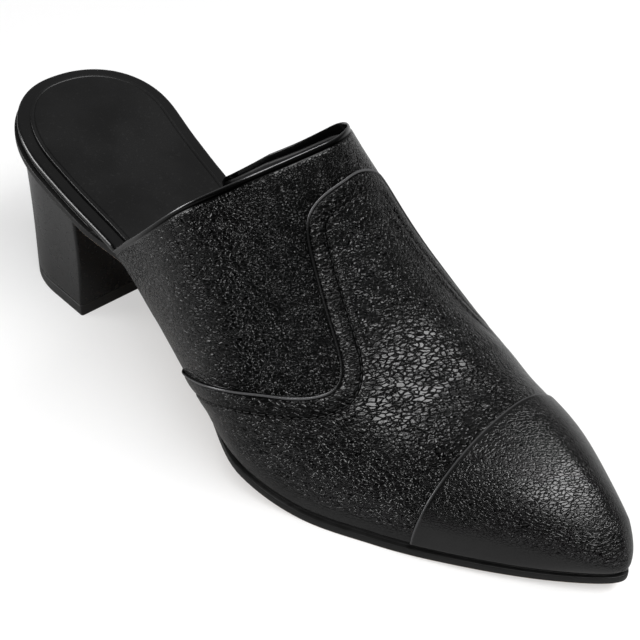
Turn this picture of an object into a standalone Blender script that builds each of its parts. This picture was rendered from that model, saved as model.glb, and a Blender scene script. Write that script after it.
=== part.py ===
"""Mule shoe for the right foot: pointed toe, open back, block heel, one lasted leather upper.

Frame: +X runs from heel to toe, +Y to the inner side of the foot, +Z up. The shoe stands on Z = 0 on its
heel lift and on the flat of its sole under the ball, and the origin is below the middle of its box.
Every piece comes from one last: a bottom outline, a bottom line and the sections that rise from it.
"""
from bisect import bisect_right
from collections import namedtuple
from math import cos, pi, radians, sin

import bmesh
import bpy
from mathutils import Matrix, Vector

# Driving sizes, in metres
LENGTH = 0.250              # axis that the tables share out, from just behind the heel to the tip of the toe
HEEL_END = 0.0022           # where on it the last's back lies, so the last is 247.8 mm long
BALL_WIDTH = 0.083          # last, across the ball
HEEL_RISE = 0.0594          # how far the heel seat lies above the ball
INSTEP_HEIGHT = 0.0775      # ridge of the last over its bottom, just before the collar
SWING = 0.0215              # how far the toe turns to the inner side
HEEL_ROUND = 0.0377         # where on the axis the heel's outline reaches its full width
TOE_ROUND = 0.0474          # length over which the toe's outline closes
NOSE_ROUND = 0.0379         # length over which the ridge comes down at the toe
WALL = 0.0024               # quarter or vamp with its lining
CLEARANCE = 0.0003          # between pieces that touch

COLLAR_OUTER = 0.0741       # where the collar meets the sole on the outer side, from the back of the heel
COLLAR_TOP = 0.1309         # where it crosses the ridge
COLLAR_INNER = 0.0664       # where it meets the sole on the inner side
COLLAR_SWEEP = 2.0          # 1 is a straight fall from ridge to sole, more is a rounder one

CAP_LENGTH = 0.0482         # toe cap on the ridge, back from the tip
CAP_SKEW = 0.0024           # how much longer the cap is on the inner side than on the outer
CAP_BOW = 0.0015            # how much longer it is on both sides than on the ridge
CAP_THICKNESS = 0.0012
CAP_PROUD = 0.0004          # how far the cap stands over the vamp

BAND_WIDTH = 0.0062         # the vamp's double edge
BAND_THICKNESS = 0.0009

OUTSOLE_THICKNESS = 0.0036
SOLE_EDGE = 0.0009          # how far the outsole stands out from the last
WAIST_DRAW = 0.0034         # how much less it does at the waist, where its edge is bevelled under the upper
WAIST = (0.058, 0.082, 0.122, 0.150)    # where that begins, is full, is full still and ends
INSOLE_THICKNESS = 0.0028
INSOLE_INSET = 0.0002       # insole rim, in from the last at the heel
SOCK_THICKNESS = 0.0009
SOCK_INSET = 0.0048         # sock, in from the last at the heel

SOLE_CHANNEL = 0.0008       # depth of the channel between upper and sole edge
SOLE_BREAK = 0.0004         # broken lower edge of the outsole
INSOLE_EASE = 0.0015        # between insole and wall, which leans in over it
RIM_RADIUS = 0.0014         # wrapped edge of the insole
RIM_TURN = 0.006            # length over which the insole narrows to go inside the upper

HEEL_SEAT_LENGTH = 0.0516   # heel block under the sole, back of the last to breast
HEEL_FOOT_LENGTH = 0.0446   # the same on the lift, back of the block to breast
HEEL_FOOT_WIDTH = 0.0516
HEEL_FOOT_ROUND = 0.028     # length over which the foot's outline closes at the back
HEEL_BACK_RAKE = 0.0057     # where the block's back stands on the lift, forward of the last's
HEEL_INSET = 0.0012         # heel block, in from the last at the seat
HEEL_WAIST = 0.0006         # how far its sides draw in between seat and lift
LIFT_THICKNESS = 0.0045

# The last's bottom: place along the length, height over the ball, half widths to each side of the axis
Bottom = namedtuple("Bottom", "at rise outer inner")        # shares of LENGTH, HEEL_RISE and BALL_WIDTH
BOTTOM = (
    Bottom(0.00, 1.000, 0.321, 0.411),
    Bottom(0.10, 0.894, 0.338, 0.377),
    Bottom(0.20, 0.762, 0.343, 0.327),
    Bottom(0.30, 0.649, 0.348, 0.288),
    Bottom(0.40, 0.487, 0.400, 0.313),
    Bottom(0.50, 0.305, 0.469, 0.377),
    Bottom(0.60, 0.112, 0.526, 0.467),
    Bottom(0.70, 0.000, 0.466, 0.492),
    Bottom(0.77, 0.000, 0.392, 0.435),
    Bottom(0.85, 0.021, 0.303, 0.338),
    Bottom(0.93, 0.042, 0.221, 0.223),
    Bottom(1.00, 0.077, 0.149, 0.127),
)

# The last's sections: ridge height, fullness over the sole to each side, and how sharp the ridge is
Section = namedtuple("Section", "at ridge outer inner crest")   # shares of LENGTH and INSTEP_HEIGHT; a power
SECTIONS = (
    Section(0.34, 1.270, 0.058, 0.090, 1.03),
    Section(0.44, 1.195, 0.058, 0.090, 1.13),
    Section(0.52, 1.004, 0.058, 0.090, 1.23),
    Section(0.60, 0.746, 0.050, 0.085, 1.25),
    Section(0.68, 0.572, 0.026, 0.070, 1.21),
    Section(0.76, 0.447, 0.010, 0.058, 1.17),
    Section(0.84, 0.392, 0.014, 0.055, 1.17),
    Section(0.92, 0.331, 0.023, 0.052, 1.17),
    Section(1.00, 0.263, 0.030, 0.051, 1.17),
)
HEEL_SQUARENESS = 2.2       # powers of the closing curves: 2 is an ellipse, more is squarer
NOSE_SQUARENESS = 2.4
FULL_HEIGHT = 0.015         # sections lower than this, at the very tip, lose their fullness
RIDGE_LEAN = 0.25           # where the ridge lies between the axis and the inner side
SIDE_FULLNESS = 2.6         # brings a section's fullness to its named share at the widest place

# The vamp's edge on each side: place along the length, and how far up from the sole to the ridge
Edge = namedtuple("Edge", "at up")
OUTER_EDGE = (
    Edge(0.470, 0.000),
    Edge(0.524, 0.143),
    Edge(0.598, 0.365),
    Edge(0.643, 0.475),
    Edge(0.664, 0.570),
    Edge(0.656, 0.642),
    Edge(0.627, 0.700),
    Edge(0.590, 0.750),
    Edge(0.562, 0.785),
    Edge(0.553, 0.850),
    Edge(0.552, 1.000),
)
INNER_EDGE = (
    Edge(0.480, 0.000),
    Edge(0.535, 0.130),
    Edge(0.600, 0.270),
    Edge(0.645, 0.360),
    Edge(0.662, 0.430),
    Edge(0.652, 0.490),
    Edge(0.627, 0.535),
    Edge(0.600, 0.588),
    Edge(0.570, 0.632),
    Edge(0.548, 0.652),
    Edge(0.541, 0.690),
    Edge(0.545, 0.800),
    Edge(0.552, 1.000),
)

# How the meshes are divided
VAMP_ROWS = 18
CAP_ROWS = 12
GIRTH_STEPS = 32
OUTLINE_STEPS = 40
HEEL_STEPS = 14
HEEL_LEVELS = 6
RIM_STEPS = 3
EDGE_STEPS = 4              # along the vamp's edge, between two rows of its table
EDGE_SMOOTHING = 2          # passes that round off what the rows leave
BAND_ACROSS = 3
WALK_STEPS = 3              # to follow the curve of the last across the band
NUDGE = 0.0005              # to read the last's slope
BAND_REACH = 0.995          # share of the girth that the band reaches down, just short of the feather
SAME_POINT = 0.00001
SHARP_ANGLE = radians(35)

BLACK = (0.012, 0.012, 0.013, 1.0)


def smooth(rows, column, at):
    """A column of a table at any place between its rows: a cubic that never overshoots a row."""
    xs = [row.at for row in rows]
    ys = [getattr(row, column) for row in rows]
    at = min(max(at, xs[0]), xs[-1])
    i = min(bisect_right(xs, at), len(xs) - 1) - 1
    slopes = [(ys[k + 1] - ys[k]) / (xs[k + 1] - xs[k]) for k in range(len(xs) - 1)]

    def tangent(k):
        if k == 0 or k == len(xs) - 1:
            return slopes[min(k, len(slopes) - 1)]
        before, after = slopes[k - 1], slopes[k]
        if before * after <= 0:
            return 0.0
        return 2 * before * after / (before + after)

    step = xs[i + 1] - xs[i]
    t = (at - xs[i]) / step
    start = (1 + 2 * t) * (1 - t) ** 2 * ys[i] + t * (1 - t) ** 2 * step * tangent(i)
    return start + t * t * (3 - 2 * t) * ys[i + 1] + t * t * (t - 1) * step * tangent(i + 1)


def bottom_z(x):
    """Height of the last's bottom, which is the top of the outsole."""
    return OUTSOLE_THICKNESS + HEEL_RISE * smooth(BOTTOM, "rise", x / LENGTH)


def heel_closing(share):
    """Share of the width that the outline has near the back, a little squarer than a circle."""
    return (1 - min(max(1 - share, 0), 1) ** HEEL_SQUARENESS) ** (1 / HEEL_SQUARENESS)


def closing(x, out):
    """Share of the width left where the outline closes round the heel and the toe."""
    toe = min(max((x - LENGTH + TOE_ROUND) / (TOE_ROUND + out), 0), 1)
    heel = heel_closing((x - HEEL_END + out) / (HEEL_ROUND - HEEL_END + out))
    return heel * (1 - toe ** 2) ** 0.5


def side_y(x, side, out=0.0):
    """The last's outline at x, side -1 outer and +1 inner, grown by out."""
    half = BALL_WIDTH * smooth(BOTTOM, "outer" if side < 0 else "inner", x / LENGTH) + out
    return SWING * (x / LENGTH) ** 2 + side * half * closing(x, out)


def upper_point(x, v, out=0.0):
    """A point of the last's surface grown by out; v is -1 on the outer feather, 0 on the ridge, 1 inner."""
    at = x / LENGTH
    angle = (1 - abs(v)) * pi / 2
    outer, inner = side_y(x, -1, out), side_y(x, 1, out)
    ridge_y = (outer + inner) / 2 + RIDGE_LEAN * (inner - outer) / 2
    nose = min(max((x - LENGTH + NOSE_ROUND) / (NOSE_ROUND + out), 0), 1)
    height = (INSTEP_HEIGHT * smooth(SECTIONS, "ridge", at) + out) * (1 - nose ** NOSE_SQUARENESS) ** 0.5
    full = BALL_WIDTH * smooth(SECTIONS, "outer" if v < 0 else "inner", at) * min(1, height / FULL_HEIGHT)
    edge_y = outer if v < 0 else inner
    y = ridge_y + (edge_y - ridge_y) * cos(angle)
    y += (full if v > 0 else -full) * SIDE_FULLNESS * sin(angle) * cos(angle) ** 2
    z = bottom_z(x) + CLEARANCE + height * sin(angle) ** smooth(SECTIONS, "crest", at)
    return Vector((x, y, z))


def collar_x(v):
    """Where the collar crosses each line of the last's girth."""
    end = COLLAR_OUTER if v < 0 else COLLAR_INNER
    return COLLAR_TOP + (end - COLLAR_TOP) * abs(v) ** COLLAR_SWEEP


def cap_x(v):
    """Where the cap's edge crosses each line of the girth."""
    return LENGTH - CAP_LENGTH - CAP_SKEW / 2 * v - CAP_BOW * v * v


def girth(steps):
    """Places round the girth, from the outer feather over the ridge to the inner feather."""
    return [2 * j / steps - 1 for j in range(steps + 1)]


def add_piece(name, points, faces, roughness):
    """One closed solid with its own plain material, faces pointing out."""
    mesh = bpy.data.meshes.new(name)
    mesh.from_pydata(points, [], faces)
    work = bmesh.new()
    work.from_mesh(mesh)
    bmesh.ops.remove_doubles(work, verts=work.verts, dist=SAME_POINT)
    bmesh.ops.recalc_face_normals(work, faces=work.faces)
    work.to_mesh(mesh)
    work.free()
    mesh.shade_smooth()
    mesh.set_sharp_from_angle(angle=SHARP_ANGLE)
    material = bpy.data.materials.new(name)
    material.use_nodes = True
    shader = material.node_tree.nodes["Principled BSDF"]
    shader.inputs["Base Color"].default_value = BLACK
    shader.inputs["Roughness"].default_value = roughness
    shader.inputs["Metallic"].default_value = 0.0
    mesh.materials.append(material)
    piece = bpy.data.objects.new(name, mesh)
    bpy.context.collection.objects.link(piece)
    return piece


def add_wall(name, outside, inside, roughness):
    """A wall between two grids of points with equal rows, closed along all four borders."""
    rows, columns = len(outside), len(outside[0])
    points = [p for grid in (outside, inside) for row in grid for p in row]

    def at(layer, i, j):
        return (layer * rows + i) * columns + j

    faces = []
    for i in range(rows - 1):
        for j in range(columns - 1):
            faces.append([at(0, i, j), at(0, i, j + 1), at(0, i + 1, j + 1), at(0, i + 1, j)])
            faces.append([at(1, i, j), at(1, i + 1, j), at(1, i + 1, j + 1), at(1, i, j + 1)])
        for j in (0, columns - 1):
            faces.append([at(0, i, j), at(0, i + 1, j), at(1, i + 1, j), at(1, i, j)])
    for j in range(columns - 1):
        for i in (0, rows - 1):
            faces.append([at(0, i, j), at(1, i, j), at(1, i, j + 1), at(0, i, j + 1)])
    return add_piece(name, points, faces, roughness)


def add_stack(name, loops, roughness):
    """A solid from loops of points one above the other, each from the back along -Y and home along +Y."""
    count = len(loops[0])
    points = [p for loop in loops for p in loop]
    faces = []
    for level in range(len(loops) - 1):
        for j in range(count):
            k = (j + 1) % count
            low, high = level * count, (level + 1) * count
            faces.append([low + j, low + k, high + k, high + j])
    for first in (0, (len(loops) - 1) * count):
        for j in range(count // 2):
            ring = [first + j, first + j + 1, first + (count - j - 1) % count, first + (count - j) % count]
            faces.append(list(dict.fromkeys(ring)))
    return add_piece(name, points, faces, roughness)


def outline(out, height, steps=OUTLINE_STEPS):
    """Closed loop round the last's bottom; out(x, side) grows it and height is over the bottom."""
    start, end = HEEL_END - out(HEEL_END, 1), LENGTH + out(LENGTH, 1)
    sides = {-1: [], 1: []}
    for j in range(steps + 1):
        x = start + (end - start) * (1 - cos(pi * j / steps)) / 2
        for side, row in sides.items():
            row.append(Vector((x, side_y(x, side, out(x, side)), bottom_z(x) + height)))
    return sides[-1] + sides[1][-2:0:-1]


def even(out):
    """The same growth all round."""
    return lambda x, side: out


def inside_wall(at_heel, at_toe):
    """Growth that turns from the rim's at the open heel to the upper's inside as the collar begins."""
    def out(x, side):
        collar = COLLAR_OUTER if side < 0 else COLLAR_INNER
        share = min(max((x - collar + RIM_TURN) / (RIM_TURN - CLEARANCE), 0), 1)
        return at_heel + (at_toe - at_heel) * share * share * (3 - 2 * share)
    return out


def ease(share):
    """0 to 1 with a soft start and a soft end."""
    share = min(max(share, 0), 1)
    return share * share * (3 - 2 * share)


def waisted(out):
    """Growth that draws in at the waist."""
    start, full, still, end = WAIST
    return lambda x, side: out - WAIST_DRAW * ease((x - start) / (full - start)) * ease((end - x) / (end - still))


def add_outsole():
    """Sole leather, with a narrow channel under the upper and a slightly broken lower edge."""
    loops = [outline(even(-SOLE_CHANNEL), 0.0), outline(even(-SOLE_CHANNEL), -SOLE_CHANNEL)]
    for out, height in (
        (SOLE_EDGE, -SOLE_CHANNEL),
        (SOLE_EDGE, SOLE_BREAK - OUTSOLE_THICKNESS),
        (SOLE_EDGE - SOLE_BREAK, -OUTSOLE_THICKNESS),
    ):
        loops.append(outline(waisted(out), height))
    add_stack("outsole", loops, 0.55)


def add_insole():
    """Insole board, wrapped and rounded at the heel, inside the upper at the front."""
    low = CLEARANCE
    rim = [(0.0, low), (0.0, low + INSOLE_THICKNESS - RIM_RADIUS)]
    for k in range(1, RIM_STEPS + 1):
        angle = k * pi / 2 / RIM_STEPS
        rim.append((RIM_RADIUS * (cos(angle) - 1), low + INSOLE_THICKNESS - RIM_RADIUS * (1 - sin(angle))))
    loops = []
    for out, height in rim:
        loops.append(outline(inside_wall(out - INSOLE_INSET, out - WALL - INSOLE_EASE), height))
    add_stack("insole", loops, 0.4)


def add_sock():
    """Sock lining on the insole, short of its rim at the heel and of the upper's wall at the front."""
    low = INSOLE_THICKNESS + 2 * CLEARANCE
    growth = inside_wall(-SOCK_INSET, -WALL - INSOLE_EASE - RIM_RADIUS)
    loops = [outline(growth, low), outline(growth, low + SOCK_THICKNESS)]
    add_stack("sock_lining", loops, 0.35)


def heel_loop(level):
    """Outline of the heel at a level from 0, on the lift, to 1, under the sole."""
    out = -HEEL_INSET
    foot_z = LIFT_THICKNESS + CLEARANCE
    middle = (side_y(HEEL_SEAT_LENGTH, 1, out) + side_y(HEEL_SEAT_LENGTH, -1, out)) / 2
    sides = {-1: [], 1: []}
    for j in range(HEEL_STEPS + 1):
        share = 1 - cos(pi / 2 * j / HEEL_STEPS)
        start = HEEL_END + HEEL_INSET
        x = start + (HEEL_SEAT_LENGTH - start) * share
        foot_x = HEEL_FOOT_LENGTH * share
        foot_half = HEEL_FOOT_WIDTH / 2 * heel_closing(foot_x / HEEL_FOOT_ROUND)
        seat_z = bottom_z(x) - OUTSOLE_THICKNESS - CLEARANCE
        for side, row in sides.items():
            y = side_y(x, side, out)
            foot_y = middle + side * foot_half
            draw = HEEL_WAIST * sin(pi * level) * foot_half / (HEEL_FOOT_WIDTH / 2)
            row.append(Vector((
                HEEL_BACK_RAKE + foot_x + (x - HEEL_BACK_RAKE - foot_x) * level,
                foot_y + (y - foot_y) * level - side * draw,
                foot_z + (seat_z - foot_z) * level,
            )))
    return sides[-1] + sides[1][:0:-1]


def add_heel():
    """Block heel between sole and lift, and the lift it walks on."""
    add_stack("heel_block", [heel_loop(k / HEEL_LEVELS) for k in range(HEEL_LEVELS + 1)], 0.3)
    foot = heel_loop(0)
    loops = [[Vector((p.x, p.y, z)) for p in foot] for z in (0.0, LIFT_THICKNESS)]
    add_stack("top_piece", loops, 0.5)


def add_upper():
    """Quarter and vamp as one wall, open at the collar and underneath, stepped in where the cap lies."""
    recess = CAP_THICKNESS + CLEARANCE - CAP_PROUD

    def grid(vamp_out, cap_out):
        rows = []
        for i in range(VAMP_ROWS + 1):
            share = i / VAMP_ROWS
            xs = [(v, collar_x(v) + (cap_x(v) - collar_x(v)) * share) for v in girth(GIRTH_STEPS)]
            rows.append([upper_point(x, v, vamp_out) for v, x in xs])
        for i in range(CAP_ROWS + 1):
            share = sin(pi / 2 * i / CAP_ROWS)
            xs = [(v, cap_x(v) + (LENGTH + cap_out - cap_x(v)) * share) for v in girth(GIRTH_STEPS)]
            rows.append([upper_point(x, v, cap_out) for v, x in xs])
        return rows

    add_wall("upper", grid(0.0, -recess), grid(-WALL, -WALL), 0.45)


def add_toe_cap():
    """The cap, in the step of the upper's wall, between two larger forms of the same last."""
    def grid(out):
        rows = []
        for i in range(CAP_ROWS + 1):
            share = sin(pi / 2 * i / CAP_ROWS)
            starts = [(v, cap_x(v) + CLEARANCE) for v in girth(GIRTH_STEPS)]
            rows.append([upper_point(x + (LENGTH + out - x) * share, v, out) for v, x in starts])
        return rows

    add_wall("toe_cap", grid(CAP_PROUD), grid(CAP_PROUD - CAP_THICKNESS), 0.4)


def vamp_edge():
    """The vamp's edge from the outer feather over the ridge to the inner feather, as places (x, v)."""
    rows = [(row.at * LENGTH, row.up - 1) for row in OUTER_EDGE]
    rows += [(row.at * LENGTH, 1 - row.up) for row in reversed(INNER_EDGE)][1:]
    rows = [rows[0]] + rows + [rows[-1]]
    route = []
    for before, start, end, after in zip(rows, rows[1:], rows[2:], rows[3:]):
        for k in range(EDGE_STEPS):
            route.append(tuple(between(*four, k / EDGE_STEPS) for four in zip(before, start, end, after)))
    route.append(rows[-1])
    for _ in range(EDGE_SMOOTHING):
        trios = zip(route, route[1:], route[2:])
        inner = [tuple((a + 2 * b + c) / 4 for a, b, c in zip(*trio)) for trio in trios]
        route = [route[0]] + inner + [route[-1]]
    return [(x, min(max(v, -BAND_REACH), BAND_REACH)) for x, v in route]


def between(before, start, end, after, t):
    """A cubic from start to end that leaves and arrives in line with the values around them."""
    leave, arrive = (end - before) / 2, (after - start) / 2
    bend = 3 * (end - start) - 2 * leave - arrive
    return start + t * (leave + t * (bend + t * (2 * (start - end) + leave + arrive)))


def walk(x, v, way, distance):
    """The place on the last that lies the given distance from (x, v) along the vector way."""
    for _ in range(WALK_STEPS):
        along = (upper_point(x + NUDGE, v) - upper_point(x - NUDGE, v)) / (2 * NUDGE)
        up, down = min(v + NUDGE, 1), max(v - NUDGE, -1)
        around = (upper_point(x, up) - upper_point(x, down)) / (up - down)
        aa, ab, bb = along.dot(along), along.dot(around), around.dot(around)
        wa, wb = along.dot(way), around.dot(way)
        length = distance / WALK_STEPS / (aa * bb - ab * ab)
        x += (wa * bb - wb * ab) * length
        v = min(max(v + (wb * aa - wa * ab) * length, -BAND_REACH), BAND_REACH)
    return x, v


def add_vamp_band():
    """The vamp's double edge: a strip on the upper, between the edge and a line inside it."""
    edge = vamp_edge()
    lines = []
    for k, (x, v) in enumerate(edge):
        ahead, behind = edge[min(k + 1, len(edge) - 1)], edge[max(k - 1, 0)]
        along = upper_point(*ahead) - upper_point(*behind)
        facing = (upper_point(x + NUDGE, v) - upper_point(x - NUDGE, v)).cross(
            upper_point(x, v + NUDGE) - upper_point(x, v - NUDGE))
        way = along.cross(facing).normalized()
        lines.append([walk(x, v, way, BAND_WIDTH * n / BAND_ACROSS) for n in range(BAND_ACROSS + 1)])
    low, high = CLEARANCE, CLEARANCE + BAND_THICKNESS
    outside = [[upper_point(x, v, high) for x, v in line] for line in lines]
    inside = [[upper_point(x, v, low) for x, v in line] for line in lines]
    add_wall("vamp_band", outside, inside, 0.4)


def stand_over_origin():
    """Move every piece so that the origin lies below the middle of the shoe's box."""
    pieces = list(bpy.data.objects)
    corners = [piece.matrix_world @ Vector(corner) for piece in pieces for corner in piece.bound_box]
    middle = [(min(c[n] for c in corners) + max(c[n] for c in corners)) / 2 for n in (0, 1)]
    for piece in pieces:
        piece.data.transform(Matrix.Translation((-middle[0], -middle[1], 0)))


for old in list(bpy.data.objects):
    bpy.data.objects.remove(old)
add_outsole()
add_heel()
add_insole()
add_sock()
add_upper()
add_toe_cap()
add_vamp_band()
stand_over_origin()
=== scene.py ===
"""Looks of a black leather mule for the right foot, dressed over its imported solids.

In the last's own frame x runs to the toe from a place just behind the heel, y to the inner side and z up,
as the solids' source has it. LAST_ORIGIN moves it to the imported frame, whose origin lies on the floor below
the middle of the shoe's box.
"""
from collections import namedtuple
from math import cos, pi, radians, sin, tan

import bpy
import numpy as np
from mathutils import Matrix, Vector


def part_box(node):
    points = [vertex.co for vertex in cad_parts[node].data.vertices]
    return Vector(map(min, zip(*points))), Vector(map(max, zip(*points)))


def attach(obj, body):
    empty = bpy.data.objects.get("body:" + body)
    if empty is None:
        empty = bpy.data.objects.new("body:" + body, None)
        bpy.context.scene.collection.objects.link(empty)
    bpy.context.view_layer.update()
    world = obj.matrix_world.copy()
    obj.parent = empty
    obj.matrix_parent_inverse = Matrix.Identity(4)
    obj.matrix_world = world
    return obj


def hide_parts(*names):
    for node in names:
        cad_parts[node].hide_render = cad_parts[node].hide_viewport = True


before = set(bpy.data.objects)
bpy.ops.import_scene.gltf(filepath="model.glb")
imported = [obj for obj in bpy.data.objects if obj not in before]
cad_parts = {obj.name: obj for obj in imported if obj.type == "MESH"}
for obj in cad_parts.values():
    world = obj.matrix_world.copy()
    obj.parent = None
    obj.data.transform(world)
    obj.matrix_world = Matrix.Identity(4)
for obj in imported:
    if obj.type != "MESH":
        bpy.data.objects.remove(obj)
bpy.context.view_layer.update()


# Outsole
# One piece of sole leather, cut to the last's outline and cemented under the upper. Its edge is trimmed,
# burnished and dyed black, with a narrow channel left under the upper; the walking side stays natural tan.
LAST_LENGTH = 0.250         # axis that the tables share out
HEEL_END = 0.0022           # where on it the last's back lies
BALL_WIDTH = 0.083
HEEL_RISE = 0.0594
SWING = 0.0215
HEEL_ROUND = 0.0377
TOE_ROUND = 0.0474
HEEL_SQUARENESS = 2.2
CLEARANCE = 0.0003
SOLE_THICKNESS = 0.0036
SOLE_EDGE = 0.0009
SOLE_CHANNEL = 0.0008
WAIST_DRAW = 0.0034         # how much less it stands out at the waist, where it is bevelled under the upper
WAIST = (0.058, 0.082, 0.122, 0.150)
SOLE_BULGE = 0.00007
SOLE_TAN_ROWS = 9           # rows of the edge's section, from the walking side, that aren't dyed
SOLE_TOP_ROUND = 0.0003
SOLE_LOW_ROUND = 0.0005
OUTLINE_STEPS = 190

# Shares of LAST_LENGTH, HEEL_RISE and BALL_WIDTH
Bottom = namedtuple("Bottom", "at rise outer inner")
BOTTOM = (
    Bottom(0.00, 1.000, 0.321, 0.411),
    Bottom(0.10, 0.894, 0.338, 0.377),
    Bottom(0.20, 0.762, 0.343, 0.327),
    Bottom(0.30, 0.649, 0.348, 0.288),
    Bottom(0.40, 0.487, 0.400, 0.313),
    Bottom(0.50, 0.305, 0.469, 0.377),
    Bottom(0.60, 0.112, 0.526, 0.467),
    Bottom(0.70, 0.000, 0.466, 0.492),
    Bottom(0.77, 0.000, 0.392, 0.435),
    Bottom(0.85, 0.021, 0.303, 0.338),
    Bottom(0.93, 0.042, 0.221, 0.223),
    Bottom(1.00, 0.077, 0.149, 0.127),
)


def smooth(rows, column, at):
    """A column of a table at any places between its rows: a cubic that never overshoots a row."""
    xs = np.array([row.at for row in rows])
    ys = np.array([getattr(row, column) for row in rows])
    slopes = np.diff(ys) / np.diff(xs)
    before, after = slopes[:-1], slopes[1:]
    same_way = before * after > 0
    inner = np.where(same_way, 2 * before * after / np.where(same_way, before + after, 1), 0)
    tangents = np.concatenate((slopes[:1], inner, slopes[-1:]))
    at = np.clip(at, xs[0], xs[-1])
    i = np.clip(np.searchsorted(xs, at, side="right") - 1, 0, len(xs) - 2)
    step = xs[i + 1] - xs[i]
    t = (at - xs[i]) / step
    start = (1 + 2 * t) * (1 - t) ** 2 * ys[i] + t * (1 - t) ** 2 * step * tangents[i]
    return start + t * t * (3 - 2 * t) * ys[i + 1] + t * t * (t - 1) * step * tangents[i + 1]


def bottom_z(x):
    """Height of the last's bottom, which is the top of the outsole."""
    return SOLE_THICKNESS + HEEL_RISE * smooth(BOTTOM, "rise", x / LAST_LENGTH)


def heel_closing(share):
    """Share of the width that the outline has near the back, a little squarer than a circle."""
    return (1 - np.clip(1 - share, 0, 1) ** HEEL_SQUARENESS) ** (1 / HEEL_SQUARENESS)


def side_y(x, side, out=0.0):
    """The last's outline at x, side -1 outer and +1 inner, grown by out."""
    half = BALL_WIDTH * smooth(BOTTOM, "outer" if side < 0 else "inner", x / LAST_LENGTH) + out
    toe = np.clip((x - LAST_LENGTH + TOE_ROUND) / (TOE_ROUND + out), 0, 1)
    heel = heel_closing((x - HEEL_END + out) / (HEEL_ROUND - HEEL_END + out))
    closing = heel * (1 - toe ** 2) ** 0.5
    return SWING * (x / LAST_LENGTH) ** 2 + side * half * closing


def even(out):
    """The same growth all round."""
    return lambda x, side: out + 0 * x


def ease(value, low, high):
    """0 below low, 1 above high and a soft rise between them."""
    share = np.clip((value - low) / (high - low), 0, 1)
    return share * share * (3 - 2 * share)


def waisted(out):
    """Growth that draws in at the waist."""
    start, full, still, end = WAIST
    return lambda x, side: out - WAIST_DRAW * ease(x, start, full) * ease(x, end, still)


def outline(out, height, steps=OUTLINE_STEPS):
    """Closed loop round the last's bottom, from the back along the outer side and home along the inner."""
    start, end = HEEL_END - out(HEEL_END, 1), LAST_LENGTH + out(LAST_LENGTH, 1)
    x = start + (end - start) * (1 - np.cos(np.linspace(0, pi, steps + 1))) / 2
    sides = []
    for side in (-1, 1):
        sides.append(np.stack((x, side_y(x, side, out(x, side)), bottom_z(x) + height), axis=-1))
    return np.concatenate((sides[0], sides[1][-2:0:-1]))


def grid_faces(rows, columns, closed=False, flip=False):
    """Quads of a grid of points, facing out where rows run to the toe or down and columns inward or round."""
    i = np.arange(rows - 1)[:, None]
    j = np.arange(columns if closed else columns - 1)[None, :]
    k = (j + 1) % columns
    corners = [i * columns + j, (i + 1) * columns + j, (i + 1) * columns + k, i * columns + k]
    if flip:
        corners.reverse()
    return np.stack(corners, axis=-1).reshape(-1, 4).tolist()


def lid_faces(first, count, up):
    """Strips that close a loop of the outline, from its outer side to its inner side."""
    faces = []
    for j in range(count // 2):
        ring = [first + j, first + j + 1, first + (count - j - 1) % count, first + (count - j) % count]
        ring = list(dict.fromkeys(ring))
        faces.append(ring if up else ring[::-1])
    return faces


def block_faces(loops):
    """Faces of a closed block: its sides from the loops, which run down, and a lid on each end."""
    count = len(loops[0])
    last = (len(loops) - 1) * count
    sides = grid_faces(len(loops), count, closed=True)
    return sides + lid_faces(0, count, True) + lid_faces(last, count, False)


def arc(across, up, radius, start, stop, steps=5):
    """Points of an arc in a profile, round the centre (across, up), with its angles in degrees."""
    return [
        (across + radius * cos(radians(a)), up + radius * sin(radians(a)))
        for a in np.linspace(start, stop, steps + 1)
    ]


def add_piece(name, points, faces, *materials):
    """A smooth mesh from points in the last's frame, riding on the shoe."""
    mesh = bpy.data.meshes.new(name)
    mesh.from_pydata((np.asarray(points).reshape(-1, 3) + LAST_ORIGIN).tolist(), [], faces)
    for material in materials:
        mesh.materials.append(material)
    mesh.shade_smooth()
    piece = bpy.data.objects.new(name, mesh)
    bpy.context.collection.objects.link(piece)
    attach(piece, "root")
    return piece


def add_effect(name, takes, gives):
    """An empty shader group with named inputs and outputs, and its two end nodes."""
    tree = bpy.data.node_groups.new(name, "ShaderNodeTree")
    for socket, start in takes.items():
        kind = "NodeSocketVector" if isinstance(start, tuple) else "NodeSocketFloat"
        tree.interface.new_socket(socket, in_out="INPUT", socket_type=kind).default_value = start
    for socket in gives:
        tree.interface.new_socket(socket, in_out="OUTPUT", socket_type="NodeSocketFloat")
    return tree, tree.nodes.new("NodeGroupInput").outputs, tree.nodes.new("NodeGroupOutput").inputs


def node(tree, kind, values, **settings):
    """One node of a tree. Its values are numbers, or outputs of other nodes that are linked to it."""
    made = tree.nodes.new("ShaderNode" + kind)
    for key, value in settings.items():
        setattr(made, key, value)
    for key, value in values.items():
        if isinstance(value, bpy.types.NodeSocket):
            tree.links.new(value, made.inputs[key])
        else:
            made.inputs[key].default_value = value
    return made


def reckon(tree, operation, *values):
    """The output of a Math node."""
    return node(tree, "Math", dict(enumerate(values)), operation=operation).outputs[0]


def spread(tree, value, low, high, to_low=0.0, to_high=1.0):
    """The value's range from low to high, eased into another range."""
    values = {"Value": value, "From Min": low, "From Max": high, "To Min": to_low, "To Max": to_high}
    return node(tree, "MapRange", values, interpolation_type="SMOOTHSTEP").outputs["Result"]


def effect(tree, name, **values):
    """A shader group placed in a tree with its own values."""
    made = tree.nodes.new("ShaderNodeGroup")
    made.node_tree = bpy.data.node_groups[name]
    for key, value in values.items():
        key = key.replace("_", " ").title()
        if isinstance(value, bpy.types.NodeSocket):
            tree.links.new(value, made.inputs[key])
        else:
            made.inputs[key].default_value = value
    return made.outputs


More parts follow.
